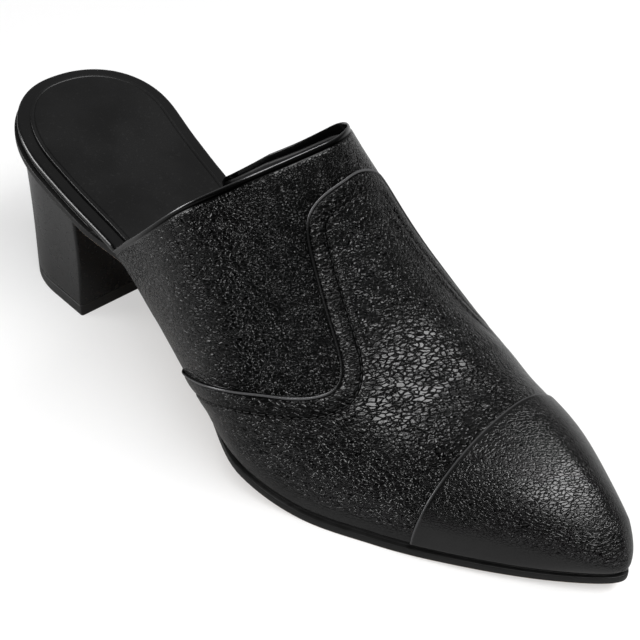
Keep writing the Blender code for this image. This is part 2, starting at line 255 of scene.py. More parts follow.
def add_handling():
    """Soft patches from finishing and touch, which change how dull or how light a surface is."""
    tree, takes, gives = add_effect("handling", {"Where": (0.0, 0.0, 0.0), "Size": 0.02}, ["Patch"])
    fine = reckon(tree, "DIVIDE", 1.0, takes["Size"])
    patch = node(tree, "TexNoise", {"Vector": takes["Where"], "Scale": fine, "Detail": 3.0})
    tree.links.new(spread(tree, patch.outputs["Fac"], 0.3, 0.7), gives["Patch"])


def add_calf_grain():
    """Smooth leather: a net of tiny hair cells, with pores between them."""
    takes = {"Where": (0.0, 0.0, 0.0), "Size": 0.0004}
    tree, takes, gives = add_effect("calf_grain", takes, ["Height", "Pore"])
    fine = reckon(tree, "DIVIDE", 1.0, takes["Size"])
    cells = node(tree, "TexVoronoi", {"Vector": takes["Where"], "Scale": fine}, feature="DISTANCE_TO_EDGE")
    cell = spread(tree, cells.outputs["Distance"], 0.0, 0.3)
    half = reckon(tree, "MULTIPLY", fine, 0.37)
    soft = node(tree, "TexNoise", {"Vector": takes["Where"], "Scale": half, "Detail": 4.0})
    height = reckon(tree, "MULTIPLY_ADD", cell, 0.45, reckon(tree, "MULTIPLY", soft.outputs["Fac"], 0.55))
    tree.links.new(height, gives["Height"])
    tree.links.new(spread(tree, soft.outputs["Fac"], 0.58, 0.7), gives["Pore"])


def add_material(name, colour, roughness, specular=0.32):
    """A material with its shader's plain values set; returns it with its tree, shader and place output."""
    material = bpy.data.materials.new(name)
    material.use_nodes = True
    tree = material.node_tree
    shader = tree.nodes["Principled BSDF"]
    shader.inputs["Base Color"].default_value = (*colour, 1)
    shader.inputs["Roughness"].default_value = roughness
    shader.inputs["Specular IOR Level"].default_value = specular
    return material, tree, shader, tree.nodes.new("ShaderNodeTexCoord").outputs["Object"]


def blend(tree, share, low, high):
    """A colour between two, which are numbers or outputs, by a share that changes over the surface."""
    return node(tree, "Mix", {"Factor": share, 6: low, 7: high}, data_type="RGBA").outputs[2]


def two_tone(tree, shader, share, low, high):
    """Base colour between two colours, by a share that changes over the surface."""
    tree.links.new(blend(tree, share, (*low, 1), (*high, 1)), shader.inputs["Base Color"])


def relief(tree, shader, height, depth):
    """Bump of the given depth in metres from a height between 0 and 1."""
    bump = node(tree, "Bump", {"Height": height, "Strength": 1.0, "Distance": depth})
    tree.links.new(bump.outputs["Normal"], shader.inputs["Normal"])


def sole_edge_finish():
    """Dyed and burnished sole edge: black, matt, with faint streaks along it."""
    material, tree, shader, place = add_material("sole_edge", (0.004, 0.004, 0.004), 0.38, 0.25)
    layers = node(tree, "Mapping", {"Vector": place, "Scale": (0.08, 0.08, 1.0)}).outputs["Vector"]
    streak = node(tree, "TexNoise", {"Vector": layers, "Scale": 3200.0, "Detail": 2.0}).outputs["Fac"]
    hand = effect(tree, "handling", where=place, size=0.018)
    two_tone(tree, shader, hand["Patch"], (0.003, 0.003, 0.003), (0.006, 0.006, 0.0058))
    tree.links.new(spread(tree, streak, 0.3, 0.7, 0.36, 0.52), shader.inputs["Roughness"])
    relief(tree, shader, streak, 0.00003)
    return material


def tan_sole_finish():
    """Natural sole leather: tan, fibrous, faintly darker where it was burnished."""
    material, tree, shader, place = add_material("sole_tan", (0.52, 0.36, 0.22), 0.55)
    calf = effect(tree, "calf_grain", where=place, size=0.0006)
    hand = effect(tree, "handling", where=place, size=0.03)
    two_tone(tree, shader, hand["Patch"], (0.44, 0.29, 0.17), (0.58, 0.42, 0.27))
    tree.links.new(spread(tree, hand["Patch"], 0.0, 1.0, 0.45, 0.62), shader.inputs["Roughness"])
    relief(tree, shader, calf["Height"], 0.00006)
    return material


def sole_profile():
    """The edge's section from the upper's seat down to the walking side, as (out, height)."""
    low = -SOLE_THICKNESS
    points = [(-SOLE_CHANNEL, 0.0), (-SOLE_CHANNEL, -0.9 * SOLE_CHANNEL)]
    points.append((-0.6 * SOLE_CHANNEL, -SOLE_CHANNEL))
    points += arc(SOLE_EDGE - SOLE_TOP_ROUND, -SOLE_CHANNEL - SOLE_TOP_ROUND, SOLE_TOP_ROUND, 90, 0)
    for share in (0.3, 0.5, 0.7):
        out = SOLE_EDGE + SOLE_BULGE * sin(pi * share)
        points.append((out, -SOLE_CHANNEL + (low + SOLE_CHANNEL) * share))
    points += arc(SOLE_EDGE - SOLE_LOW_ROUND, low + SOLE_LOW_ROUND, SOLE_LOW_ROUND, 0, -90, 8)
    return points + [(SOLE_EDGE - 1.5 * SOLE_LOW_ROUND, low), (-2 * SOLE_CHANNEL, low)]


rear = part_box("outsole")[0]
stations = np.linspace(HEEL_END, LAST_LENGTH, 1001)
outermost = side_y(stations, -1, SOLE_EDGE).min()
LAST_ORIGIN = np.array((rear.x + SOLE_EDGE - HEEL_END, rear.y - outermost, 0))

add_handling()
add_calf_grain()
profile = sole_profile()
loops = [outline(even(out) if height > -SOLE_CHANNEL else waisted(out), height) for out, height in profile]
outsole = add_piece("outsole_leather", loops, block_faces(loops), sole_edge_finish(), tan_sole_finish())
first_tan = (len(profile) - SOLE_TAN_ROWS) * len(loops[0])
for polygon in outsole.data.polygons:
    polygon.material_index = int(min(polygon.vertices) >= first_tan)
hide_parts("outsole")


# Heel
# A hollow block of hard plastic, 60 mm high, wrapped in one piece of smooth black calf that is drawn tight,
# turned over its edges and cemented. It is screwed through the insole, and its top meets the outsole.
HEEL_SEAT_LENGTH = 0.0516
HEEL_FOOT_LENGTH = 0.0446
HEEL_FOOT_WIDTH = 0.0516
HEEL_FOOT_ROUND = 0.028
HEEL_BACK_RAKE = 0.0057
HEEL_INSET = 0.0012
HEEL_WAIST = 0.0006
LIFT_THICKNESS = 0.0045
COVER_ROUND = 0.0006        # the cover's turned edges
BREAST_ROUND = 0.0010       # its corners at the breast
HEEL_STEPS = 70
BREAST_STEPS = 30
HEEL_LEVELS = 40


def heel_loop(level, inset=0.0):
    """Outline of the heel at a level from 0, on the lift, to 1, under the sole."""
    out = -HEEL_INSET - inset
    foot_z = LIFT_THICKNESS + CLEARANCE
    middle = (side_y(HEEL_SEAT_LENGTH, 1, out) + side_y(HEEL_SEAT_LENGTH, -1, out)) / 2
    rounding = BREAST_ROUND / HEEL_SEAT_LENGTH
    share = (1 - rounding) * (1 - np.cos(np.linspace(0, pi / 2, HEEL_STEPS)))
    turn = np.linspace(0, pi / 2, 8)[1:]
    share = np.concatenate((share, 1 - rounding + rounding * np.sin(turn)))
    corner = np.concatenate((np.zeros(HEEL_STEPS), BREAST_ROUND * (1 - np.cos(turn))))
    x = HEEL_END - out + (HEEL_SEAT_LENGTH - inset - HEEL_END + out) * share
    foot_x = inset + (HEEL_FOOT_LENGTH - 2 * inset) * share
    foot_half = (HEEL_FOOT_WIDTH / 2 - inset) * heel_closing((foot_x - inset) / HEEL_FOOT_ROUND)
    seat_z = bottom_z(x) - SOLE_THICKNESS - CLEARANCE
    draw = HEEL_WAIST * sin(pi * level) * foot_half / (HEEL_FOOT_WIDTH / 2) + corner
    sides = []
    for side in (-1, 1):
        foot_y = middle + side * foot_half
        y = foot_y + (side_y(x, side, out) - foot_y) * level - side * draw
        sides.append(np.stack((
            HEEL_BACK_RAKE + foot_x + (x - HEEL_BACK_RAKE - foot_x) * level,
            y,
            foot_z + (seat_z - foot_z) * level,
        ), axis=-1))
    across = np.linspace(0, 1, BREAST_STEPS)[1:-1, None]
    breast = sides[0][-1] * (1 - across) + sides[1][-1] * across
    return np.concatenate((sides[0], breast, sides[1][:0:-1]))


def calf_finish(name, colour, roughness, depth, size=0.00045, specular=0.32):
    """Smooth black calf with a satin finish."""
    material, tree, shader, place = add_material(name, colour, roughness, specular)
    calf = effect(tree, "calf_grain", where=place, size=size)
    hand = effect(tree, "handling", where=place, size=0.022)
    dark = tuple(0.75 * part for part in colour)
    two_tone(tree, shader, hand["Patch"], dark, colour)
    rough = spread(tree, hand["Patch"], 0.0, 1.0, roughness - 0.05, roughness + 0.04)
    rough = reckon(tree, "MULTIPLY_ADD", calf["Pore"], 0.12, rough)
    tree.links.new(rough, shader.inputs["Roughness"])
    relief(tree, shader, calf["Height"], depth)
    return material


turned_edge = []
for angle in np.linspace(0, pi / 2, 6):
    turned_edge.append((COVER_ROUND * (1 - cos(angle)) / HEEL_RISE, COVER_ROUND * (1 - sin(angle))))
levels = [(1 - level, inset) for level, inset in turned_edge]
levels += [(level, 0.0) for level in np.linspace(0.97, 0.03, HEEL_LEVELS)]
levels += reversed(turned_edge)
loops = [heel_loop(level, inset) for level, inset in levels]
heel_calf = calf_finish("heel_calf", (0.0015, 0.0015, 0.0016), 0.26, 0.00001, specular=0.45)
heel = add_piece("heel_cover", loops, block_faces(loops), heel_calf)
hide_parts("heel_block")


# Heel lift
# A plate of hard black rubber, 4.5 mm thick, nailed and cemented under the heel and ground flush with it.
# Its edges are barely broken, and its walking side is moulded with a fine grain.
LIFT_ROUND = 0.0003


def lift_finish():
    """Hard moulded rubber."""
    material, tree, shader, place = add_material("lift_rubber", (0.012, 0.012, 0.012), 0.45)
    grain = node(tree, "TexNoise", {"Vector": place, "Scale": 2600.0, "Detail": 3.0}).outputs["Fac"]
    hand = effect(tree, "handling", where=place, size=0.015)
    two_tone(tree, shader, hand["Patch"], (0.010, 0.010, 0.010), (0.017, 0.017, 0.017))
    tree.links.new(spread(tree, grain, 0.3, 0.7, 0.40, 0.55), shader.inputs["Roughness"])
    relief(tree, shader, grain, 0.00004)
    return material


profile = arc(-LIFT_ROUND, LIFT_THICKNESS - LIFT_ROUND, LIFT_ROUND, 90, 0, 4)
profile += [(0.0, LIFT_THICKNESS * share) for share in (0.7, 0.5, 0.3)]
profile += arc(-LIFT_ROUND, LIFT_ROUND, LIFT_ROUND, 0, -90, 4)
loops = []
for out, z in profile:
    loop = heel_loop(0, -out)
    loop[:, 2] = z
    loops.append(loop)
lift = add_piece("heel_lift", loops, block_faces(loops), lift_finish())
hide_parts("top_piece")


# Insole
# A fibre board moulded to the last. Behind the upper its edge is wrapped in thin black leather, which shows
# as a rounded rim round the heel; inside the upper the wall is lasted over it.
WALL = 0.0024
COLLAR_OUTER = 0.0741
COLLAR_INNER = 0.0664
INSOLE_THICKNESS = 0.0028
INSOLE_INSET = 0.0002
INSOLE_EASE = 0.0015
RIM_RADIUS = 0.0014
RIM_RUN = 0.0014            # how far the rim runs on straight past the collar's end
RIM_TURN = 0.0036           # and how long it takes from there to draw in beside the wall


def inside_wall(at_heel, at_toe):
    """Growth that turns from the rim's at the open heel to the upper's inside as the collar begins."""
    def out(x, side):
        collar = COLLAR_OUTER if side < 0 else COLLAR_INNER
        start = collar + RIM_RUN
        return at_heel + (at_toe - at_heel) * ease(x, start, start + RIM_TURN)
    return out


top = CLEARANCE + INSOLE_THICKNESS
profile = [(-6 * RIM_RADIUS, top)] + arc(-RIM_RADIUS, top - RIM_RADIUS, RIM_RADIUS, 90, 0, 12)
profile += [(0.0, CLEARANCE + 0.3 * RIM_RADIUS)]
profile += [(-0.15 * RIM_RADIUS, CLEARANCE), (-2 * RIM_RADIUS, CLEARANCE)]
loops = []
for out, height in profile:
    loops.append(outline(inside_wall(out - INSOLE_INSET, out - WALL - INSOLE_EASE), height))
rim_leather = calf_finish("rim_leather", (0.0015, 0.0015, 0.0016), 0.22, 0.00001, specular=0.5)
insole = add_piece("insole_rim", loops, block_faces(loops), rim_leather)
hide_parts("insole")


# Sock lining
# Thin smooth black leather, cut 5 mm short of the rim and glued on the insole, with a line creased along
# its edge by a heated tool. It runs on under the upper to the toe.
SOCK_THICKNESS = 0.0009
SOCK_INSET = 0.0048
SOCK_ROUND = 0.0004
SOCK_LINE = 0.0013          # the creased line, in from the sock's edge
SOCK_LINE_DEPTH = 0.00025

top = INSOLE_THICKNESS + 2 * CLEARANCE + SOCK_THICKNESS
line = -SOCK_LINE
profile = [(-0.014, top), (-0.008, top), (3 * line, top), (line - 0.0006, top), (line - 0.0003, top)]
profile += [(line - 0.0001, top - 0.7 * SOCK_LINE_DEPTH), (line, top - SOCK_LINE_DEPTH)]
profile += [(line + 0.0001, top - 0.7 * SOCK_LINE_DEPTH), (line + 0.0003, top)]
profile += arc(-SOCK_ROUND, top - SOCK_ROUND, SOCK_ROUND, 90, 0, 6)
profile += [(0.0, top - SOCK_THICKNESS - CLEARANCE)]
loops = []
for out, height in profile:
    loops.append(outline(inside_wall(out - SOCK_INSET, out - WALL - INSOLE_EASE - RIM_RADIUS), height))
count = len(loops[0])
faces = grid_faces(len(loops), count, closed=True) + lid_faces(0, count, True)
sock = add_piece("sock", loops, faces, calf_finish("sock_leather", (0.004, 0.004, 0.0041), 0.37, 0.00002))
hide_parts("sock_lining")


# Lining
# Smooth black lining leather inside quarter, vamp and cap. At the collar its edge comes up beside the
# quarter's folded edge and is turned in, with a fine gap between the two.
INSTEP_HEIGHT = 0.0775
NOSE_ROUND = 0.0379
NOSE_SQUARENESS = 2.4
FULL_HEIGHT = 0.015
RIDGE_LEAN = 0.25
SIDE_FULLNESS = 2.6
COLLAR_TOP = 0.1309
COLLAR_SWEEP = 2.0
TUCK_ROUND = 0.0013         # the upper turns under at the feather
TUCK_DEPTH = 0.0010
LINING_DROP = 0.0018        # how far the lining's edge lies below the collar's
LINING_ROWS = 90
LINING_COLUMNS = 150
GIRTH_CROWDING = 0.7        # how much closer the columns of faces lie near the feathers, from 0 to 1
LINING_DEPTH = 0.00186      # middle of its turned edge, under the upper's surface
LINING_FOLD = 0.00052       # half that edge, rounded

# Shares of LAST_LENGTH, INSTEP_HEIGHT and, for the sides' fullness, BALL_WIDTH; crest is a power
Section = namedtuple("Section", "at ridge outer inner crest")
SECTIONS = (
    Section(0.34, 1.270, 0.058, 0.090, 1.03),
    Section(0.44, 1.195, 0.058, 0.090, 1.13),
    Section(0.52, 1.004, 0.058, 0.090, 1.23),
    Section(0.60, 0.746, 0.050, 0.085, 1.25),
    Section(0.68, 0.572, 0.026, 0.070, 1.21),
    Section(0.76, 0.447, 0.010, 0.058, 1.17),
    Section(0.84, 0.392, 0.014, 0.055, 1.17),
    Section(0.92, 0.331, 0.023, 0.052, 1.17),
    Section(1.00, 0.263, 0.030, 0.051, 1.17),
)


def section_at(x, v, out):
    """A point of the last's surface grown by out; v is -1 on the outer feather, 0 on the ridge, 1 inner."""
    at = x / LAST_LENGTH
    angle = (1 - np.abs(v)) * pi / 2
    outer, inner = side_y(x, -1, out), side_y(x, 1, out)
    ridge_y = (outer + inner) / 2 + RIDGE_LEAN * (inner - outer) / 2
    nose = np.clip((x - LAST_LENGTH + NOSE_ROUND) / (NOSE_ROUND + out), 0, 1)
    height = (INSTEP_HEIGHT * smooth(SECTIONS, "ridge", at) + out) * (1 - nose ** NOSE_SQUARENESS) ** 0.5
    full = np.where(v < 0, smooth(SECTIONS, "outer", at), smooth(SECTIONS, "inner", at))
    full = BALL_WIDTH * full * np.minimum(1, height / FULL_HEIGHT)
    y = ridge_y + (np.where(v < 0, outer, inner) - ridge_y) * np.cos(angle)
    y = y + np.where(v > 0, full, -full) * SIDE_FULLNESS * np.sin(angle) * np.cos(angle) ** 2
    rise = height * np.abs(np.sin(angle)) ** smooth(SECTIONS, "crest", at)
    return np.stack((x + 0 * y, y, bottom_z(x) + CLEARANCE + rise), axis=-1), rise


def upper_point(x, v, out=0.0):
    """The same point, turned under where it comes down to the feather."""
    rise = section_at(x, v, out)[1]
    low = np.clip(1 - rise / TUCK_ROUND, 0, 1)
    return section_at(x, v, out - TUCK_DEPTH * (1 - np.sqrt(1 - low ** 2)))[0]


def collar_x(v):
    """Where the collar crosses each line of the last's girth."""
    end = np.where(v < 0, COLLAR_OUTER, COLLAR_INNER)
    return COLLAR_TOP + (end - COLLAR_TOP) * np.abs(v) ** COLLAR_SWEEP


def girth_places(count):
    """Places from the outer feather over the ridge to the inner one, closer together near the feathers."""
    share = np.linspace(-1, 1, count)
    return share + GIRTH_CROWDING * np.sin(pi * share) / pi


v = girth_places(LINING_COLUMNS)
profile = [(0.0022, 0.00135), (0.0010, 0.00132)]
profile += [(0.0006 - a, d) for d, a in arc(LINING_DEPTH, 0.0, LINING_FOLD, 180, 0, 8)]
profile += [(0.0011, WALL)]
rows = [section_at(collar_x(v) + LINING_DROP + a, v, -depth)[0] for a, depth in profile]
start = collar_x(v) + LINING_DROP + 0.0018
for share in np.linspace(0, 1, LINING_ROWS) ** 0.9:
    share = sin(pi / 2 * share)
    rows.append(section_at(start + (LAST_LENGTH - WALL - start) * share, v, -WALL + 0 * v)[0])
lining_leather = calf_finish("lining_leather", (0.004, 0.004, 0.0042), 0.42, 0.00003)
lining = add_piece("lining", rows, grid_faces(len(rows), len(v), flip=True), lining_leather)
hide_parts("upper")


# Quarter
# Pebble-grained black leather round the back of the upper. Its collar edge is skived and folded over, with
# a pressed crease beside the fold, and its front runs on under the vamp's edge.
CREASE_PLACE = 0.0010       # the crease beside the collar's fold
QUARTER_ROWS = 150
QUARTER_COLUMNS = 260
COLLAR_ROUND = 0.00034      # half the folded edge, rounded
UNDERLAP = 0.0045           # how far it runs on under the vamp

# Places on the vamp's edge: a share of LAST_LENGTH, and of the way up from the feather to the ridge
Edge = namedtuple("Edge", "at up")
OUTER_EDGE = (
    Edge(0.470, 0.000),
    Edge(0.524, 0.143),
    Edge(0.598, 0.365),
    Edge(0.643, 0.475),
    Edge(0.664, 0.570),
    Edge(0.656, 0.642),
    Edge(0.627, 0.700),
    Edge(0.590, 0.750),
    Edge(0.562, 0.785),
    Edge(0.553, 0.850),
    Edge(0.552, 1.000),
)
INNER_EDGE = (
    Edge(0.480, 0.000),
    Edge(0.535, 0.130),
    Edge(0.600, 0.270),
    Edge(0.645, 0.360),
    Edge(0.662, 0.430),
    Edge(0.652, 0.490),
    Edge(0.627, 0.535),
    Edge(0.600, 0.588),
    Edge(0.570, 0.632),
    Edge(0.548, 0.652),
    Edge(0.541, 0.690),
    Edge(0.545, 0.800),
    Edge(0.552, 1.000),
)
EDGE_STEPS = 18
EDGE_SMOOTHING = 40
FINISH_SHINE = (0.042, 0.042, 0.042, 1.0)       # what the clear finish reflects head on
CREVICE_SHADE = 0.94                              # share of it taken out in cracks and pressed lines: painted shade
MIRROR_SHARE = 0.95                             # the rest of the surface scatters light
# light grey painted on the crests of raised edges as a highlight
HIGHLIGHT_GREY = (0.10, 0.10, 0.102, 1.0)
QUARTER_LIE = (0.0, 0.53, 0.0)                  # turns about x, y and z that lay the long pebbles

# A place on the last, then the fold's reach in mm, its angle in degrees, and its depth and width in mm
Fold = namedtuple("Fold", "at v reach angle depth width")
FOLDS = (
    Fold(0.60, -0.62, 16, 35, 0.16, 2.6),
    Fold(0.53, -0.55, 20, 40, 0.14, 3.2),
    Fold(0.46, -0.70, 18, 60, 0.16, 3.0),
    Fold(0.42, -0.86, 12, 80, 0.14, 2.4),
    Fold(0.70, -0.30, 14, 75, 0.14, 2.8),
    Fold(0.74, -0.10, 18, 95, 0.12, 3.2),
    Fold(0.71, 0.35, 14, 105, 0.12, 3.0),
    Fold(0.56, 0.60, 18, 120, 0.14, 3.2),
    Fold(0.66, -0.75, 12, 50, 0.12, 2.4),
)


def add_pebble_grain():
    """Shrunken grain: flat-topped pebbles with steep edges, and shallower cracks across the larger ones."""
    takes = {"Where": (0.0, 0.0, 0.0), "Size": 0.0016, "Stretch": (1.0, 1.0, 1.0),
             "Turn": (0.0, 0.0, 0.0), "Calm": 0.0}
    tree, takes, gives = add_effect("pebble_grain", takes, ["Height", "Crack"])
    angles = {"Vector": takes["Where"], "Rotation": takes["Turn"]}
    turned = node(tree, "VectorRotate", angles, rotation_type="EULER_XYZ")
    long = node(tree, "VectorMath", {0: turned.outputs[0], 1: takes["Stretch"]}, operation="MULTIPLY")
    fine = reckon(tree, "DIVIDE", 1.0, takes["Size"])
    scaled = node(tree, "VectorMath", {0: long.outputs[0], "Scale": fine}, operation="SCALE").outputs[0]
    drift = node(tree, "TexNoise", {"Vector": scaled, "Scale": 0.8, "Detail": 1.0}).outputs["Color"]
    drift = node(tree, "VectorMath", {0: drift, 1: (0.5, 0.5, 0.5)}, operation="SUBTRACT").outputs[0]
    drift = node(tree, "VectorMath", {0: drift, "Scale": 1.1}, operation="SCALE").outputs[0]
    warped = node(tree, "VectorMath", {0: scaled, 1: drift}, operation="ADD").outputs[0]
    large = node(tree, "TexVoronoi", {"Vector": warped, "Scale": 1.0}, feature="DISTANCE_TO_EDGE").outputs[0]
    small = node(tree, "TexVoronoi", {"Vector": warped, "Scale": 1.9}, feature="DISTANCE_TO_EDGE").outputs[0]
    swell = node(tree, "TexNoise", {"Vector": scaled, "Scale": 0.3, "Detail": 1.0}).outputs["Fac"]
    share = spread(tree, swell, 0.35, 0.65, 0.0, 0.22)
    dome = spread(tree, large, 0.0, 0.18)
    bump = spread(tree, small, 0.0, 0.24)
    height = reckon(tree, "MULTIPLY", dome, reckon(tree, "MULTIPLY_ADD", bump, share, 0.7))
    loud = reckon(tree, "SUBTRACT", 1.0, takes["Calm"])
    height = reckon(tree, "MULTIPLY", height, loud)
    soft = node(tree, "TexNoise", {"Vector": scaled, "Scale": 2.5, "Detail": 1.0}).outputs["Fac"]
    tree.links.new(reckon(tree, "MULTIPLY_ADD", soft, 0.06, height), gives["Height"])
    crack = spread(tree, large, 0.07, 0.01)
    branch = reckon(tree, "MULTIPLY", spread(tree, small, 0.06, 0.01), share)
    crack = reckon(tree, "MULTIPLY", reckon(tree, "MAXIMUM", crack, branch), loud)
    tree.links.new(crack, gives["Crack"])


def grained_leather(name, size, stretch, turn, depth, roughness, gloss=1.0):
    """Black pebbled leather under a clear finish, with painted shade in cracks and creases and painted
    highlights on edges.

    The finish is a weak mirror, made with Base Color and Metallic, so that it follows the grain. So it
    follows the grain in the exported model too, where a coat would lie smooth over it.
    """
    material, tree, shader, place = add_material(name, FINISH_SHINE[:3], roughness, 0.02)
    calm = node(tree, "Attribute", {}, attribute_name="calm").outputs["Fac"]
    pressed = node(tree, "Attribute", {}, attribute_name="pressed").outputs["Fac"]
    rubbed = node(tree, "Attribute", {}, attribute_name="rubbed").outputs["Fac"]
    grain = effect(tree, "pebble_grain", where=place, size=size, stretch=stretch, turn=turn, calm=calm)
    hand = effect(tree, "handling", where=place, size=0.02)
    # Painted shade: the shine is taken out in the cracks and along the lines marked as shade
    dark = reckon(tree, "MAXIMUM", grain["Crack"], pressed)
    unshaded = reckon(tree, "MULTIPLY_ADD", dark, -CREVICE_SHADE, 1.0)
    worn = spread(tree, hand["Patch"], 0.0, 1.0, 0.88 * gloss, gloss)
    finish = blend(tree, reckon(tree, "MULTIPLY", unshaded, worn), (0, 0, 0, 1), FINISH_SHINE)
    # Painted highlight: light grey on the crests of raised edges, with less of the mirror there
    tree.links.new(blend(tree, rubbed, finish, HIGHLIGHT_GREY), shader.inputs["Base Color"])
    mirror = reckon(tree, "MULTIPLY_ADD", rubbed, -0.5, MIRROR_SHARE)
    tree.links.new(mirror, shader.inputs["Metallic"])
    relief(tree, shader, grain["Height"], depth)
    return material


girth_x = np.linspace(COLLAR_INNER, LAST_LENGTH, 90)
girth_v = np.linspace(0, 1, 60)[:, None]
half_girths = {}
for side in (-1, 1):
    lines = section_at(girth_x[None, :], side * girth_v, 0.0)[0]
    half_girths[side] = np.linalg.norm(np.diff(lines, axis=0), axis=-1).sum(axis=0)


def around(x, v):
    """Distance round the last from the ridge, in metres, minus on the outer side."""
    return v * np.where(v < 0, np.interp(x, girth_x, half_girths[-1]), np.interp(x, girth_x, half_girths[1]))


def folds(x, v):
    """Soft troughs with a low ridge on each side, as a height over the last."""
    height = 0 * x * v
    for fold in FOLDS:
        along = x - fold.at * LAST_LENGTH
        across = around(x, v) - around(np.array(fold.at * LAST_LENGTH), np.array(fold.v))
        turn = radians(fold.angle)
        p = (along * cos(turn) + across * sin(turn)) * 1000 / fold.reach
        q = (across * cos(turn) - along * sin(turn)) * 1000 / fold.width
        height = height - fold.depth / 1000 * (1 - q * q) * np.exp(-q * q - p * p)
    return height


def vamp_edge():
    """The vamp's edge from the outer feather over the ridge to the inner feather, as places (x, v)."""
    rows = [(row.at * LAST_LENGTH, row.up - 1) for row in OUTER_EDGE]
    rows += [(row.at * LAST_LENGTH, 1 - row.up) for row in reversed(INNER_EDGE)][1:]
    rows = np.array([rows[0]] + rows + [rows[-1]])
    t = np.arange(EDGE_STEPS)[:, None] / EDGE_STEPS
    route = []
    for before, start, end, after in zip(rows, rows[1:], rows[2:], rows[3:]):
        leave, arrive = (end - before) / 2, (after - start) / 2
        bend = 3 * (end - start) - 2 * leave - arrive
        route.append(start + t * (leave + t * (bend + t * (2 * (start - end) + leave + arrive))))
    route = np.concatenate(route + [rows[-1:]])
    for _ in range(EDGE_SMOOTHING):
        route[1:-1] = (route[:-2] + 2 * route[1:-1] + route[2:]) / 4
    return route


def set_marks(piece, calm, pressed, rubbed):
    """How smooth the grain is drawn, and where shade and highlights are painted on the leather."""
    for name, values in (("calm", calm), ("pressed", pressed), ("rubbed", rubbed)):
        layer = piece.data.attributes.new(name, "FLOAT", "POINT")
        layer.data.foreach_set("value", np.asarray(values, dtype=float).ravel())


add_pebble_grain()
edge = vamp_edge()
v = girth_places(QUARTER_COLUMNS)
steep = np.sqrt(1 + np.gradient(collar_x(v), around(collar_x(v), v)) ** 2)
profile = [(0.0040, 0.00090), (0.0012, 0.00084)]
profile += [(COLLAR_ROUND - a, d) for d, a in arc(COLLAR_ROUND, 0.0, COLLAR_ROUND, 0, 180, 8)]
profile += [(0.0005, 0.0), (CREASE_PLACE - 0.0003, 0.00002), (CREASE_PLACE - 0.00015, 0.00016)]
profile += [(CREASE_PLACE, 0.00028), (CREASE_PLACE + 0.00015, 0.00018), (CREASE_PLACE + 0.0003, 0.00005)]
profile += [(CREASE_PLACE + 0.0007, 0.0)]
rows, calms, lines, highlights = [], [], [], []
for a, depth in profile:
    x = collar_x(v) + a * steep
    rows.append(upper_point(x, v, -depth + folds(x, v)))
    calms.append(ease(a + 0 * v, 0.0018, 0.0012))
    # Painted shade along the crease beside the collar's fold, and a painted highlight on the fold's crest
    lines.append(ease(abs(a - CREASE_PLACE) + 0 * v, 0.0004, 0.0001))
    highlights.append(0.6 * ease(depth + 0 * v, 0.0006, 0.0003) * ease(a + 0 * v, 0.0004, 0.0002))
start = collar_x(v) + (CREASE_PLACE + 0.0007) * steep
end = np.interp(v, edge[:, 1], edge[:, 0]) + UNDERLAP
for share in np.linspace(0, 1, QUARTER_ROWS + 1)[1:]:
    x = start + (end - start) * share
    under = ease(x - end + UNDERLAP, 0.0, 0.002) * 0.0004
    rows.append(upper_point(x, v, folds(x, v) - under))
    near_collar = ease(x - collar_x(v), 0.0020, 0.0013)
    near_sole = 0.75 * ease(np.abs(v), 0.88, 0.98)
    calms.append(np.maximum(np.maximum(near_collar, near_sole), 0.5 * ease(v, 0.1, 0.4)))
    lines.append(0 * v)
    highlights.append(0 * v)
quarter_leather = grained_leather(
    "quarter_leather", 0.0011, (0.42, 1.0, 1.0), QUARTER_LIE, 0.00026, 0.16, gloss=0.65)
quarter = add_piece("quarter", rows, grid_faces(len(rows), len(v)), quarter_leather)
set_marks(quarter, calms, lines, highlights)
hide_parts("upper")


# Vamp
# The front panel of the same leather. Its rear edge is folded double over the quarter and stitched down
# 6.2 mm in, which leaves a raised band with a groove at the stitches; its front lies under the toe cap.
VAMP_LIE = (0.0, 0.0, -1.05)                    # how its long pebbles lie, and the toe cap's
CAP_LENGTH = 0.0482
CAP_SKEW = 0.0024
CAP_BOW = 0.0015
BAND_WIDTH = 0.0062
BAND_HEIGHT = 0.00105
BEAD_ROUND = 0.00040
BAND_FADE = 0.0135          # where the step beyond the stitches has died away
WALK_STEPS = 4
NUDGE = 0.0005              # small step on the last, to find its directions
VAMP_ROWS = 190
CAP_OVERLAP = 0.003


def cap_x(v):
    """Where the cap's edge crosses each line of the girth."""
    return LAST_LENGTH - CAP_LENGTH - CAP_SKEW / 2 * v - CAP_BOW * v * v


def walk(x, v, way, distance):
    """The places on the last that lie the given distance from (x, v) along the vectors way."""
    for _ in range(WALK_STEPS):
        along = (section_at(x + NUDGE, v, 0.0)[0] - section_at(x - NUDGE, v, 0.0)[0]) / (2 * NUDGE)
        up, down = np.minimum(v + NUDGE, 1), np.maximum(v - NUDGE, -1)
        turn = (section_at(x, up, 0.0)[0] - section_at(x, down, 0.0)[0]) / (up - down)[:, None]
        aa, ab, bb = (along * along).sum(-1), (along * turn).sum(-1), (turn * turn).sum(-1)
        wa, wb = (along * way).sum(-1), (turn * way).sum(-1)
        length = distance / WALK_STEPS / (aa * bb - ab * ab)
        x = x + (wa * bb - wb * ab) * length
        v = np.clip(v + (wb * aa - wa * ab) * length, -1, 1)
    return x, v


def edge_ways(edge):
    """Unit vectors on the last, square to the vamp's edge and into the vamp."""
    x, v = edge.T
    on_last = section_at(x, v, 0.0)[0]
    along = np.gradient(on_last, axis=0)
    facing = np.cross(
        section_at(x + NUDGE, v, 0.0)[0] - section_at(x - NUDGE, v, 0.0)[0],
        section_at(x, np.minimum(v + NUDGE, 1), 0.0)[0] - section_at(x, np.maximum(v - NUDGE, -1), 0.0)[0],
    )
    way = np.cross(along, facing)
    way *= np.sign((way * (1, 0, 0)).sum(-1).mean())
    return way / np.linalg.norm(way, axis=-1, keepdims=True)
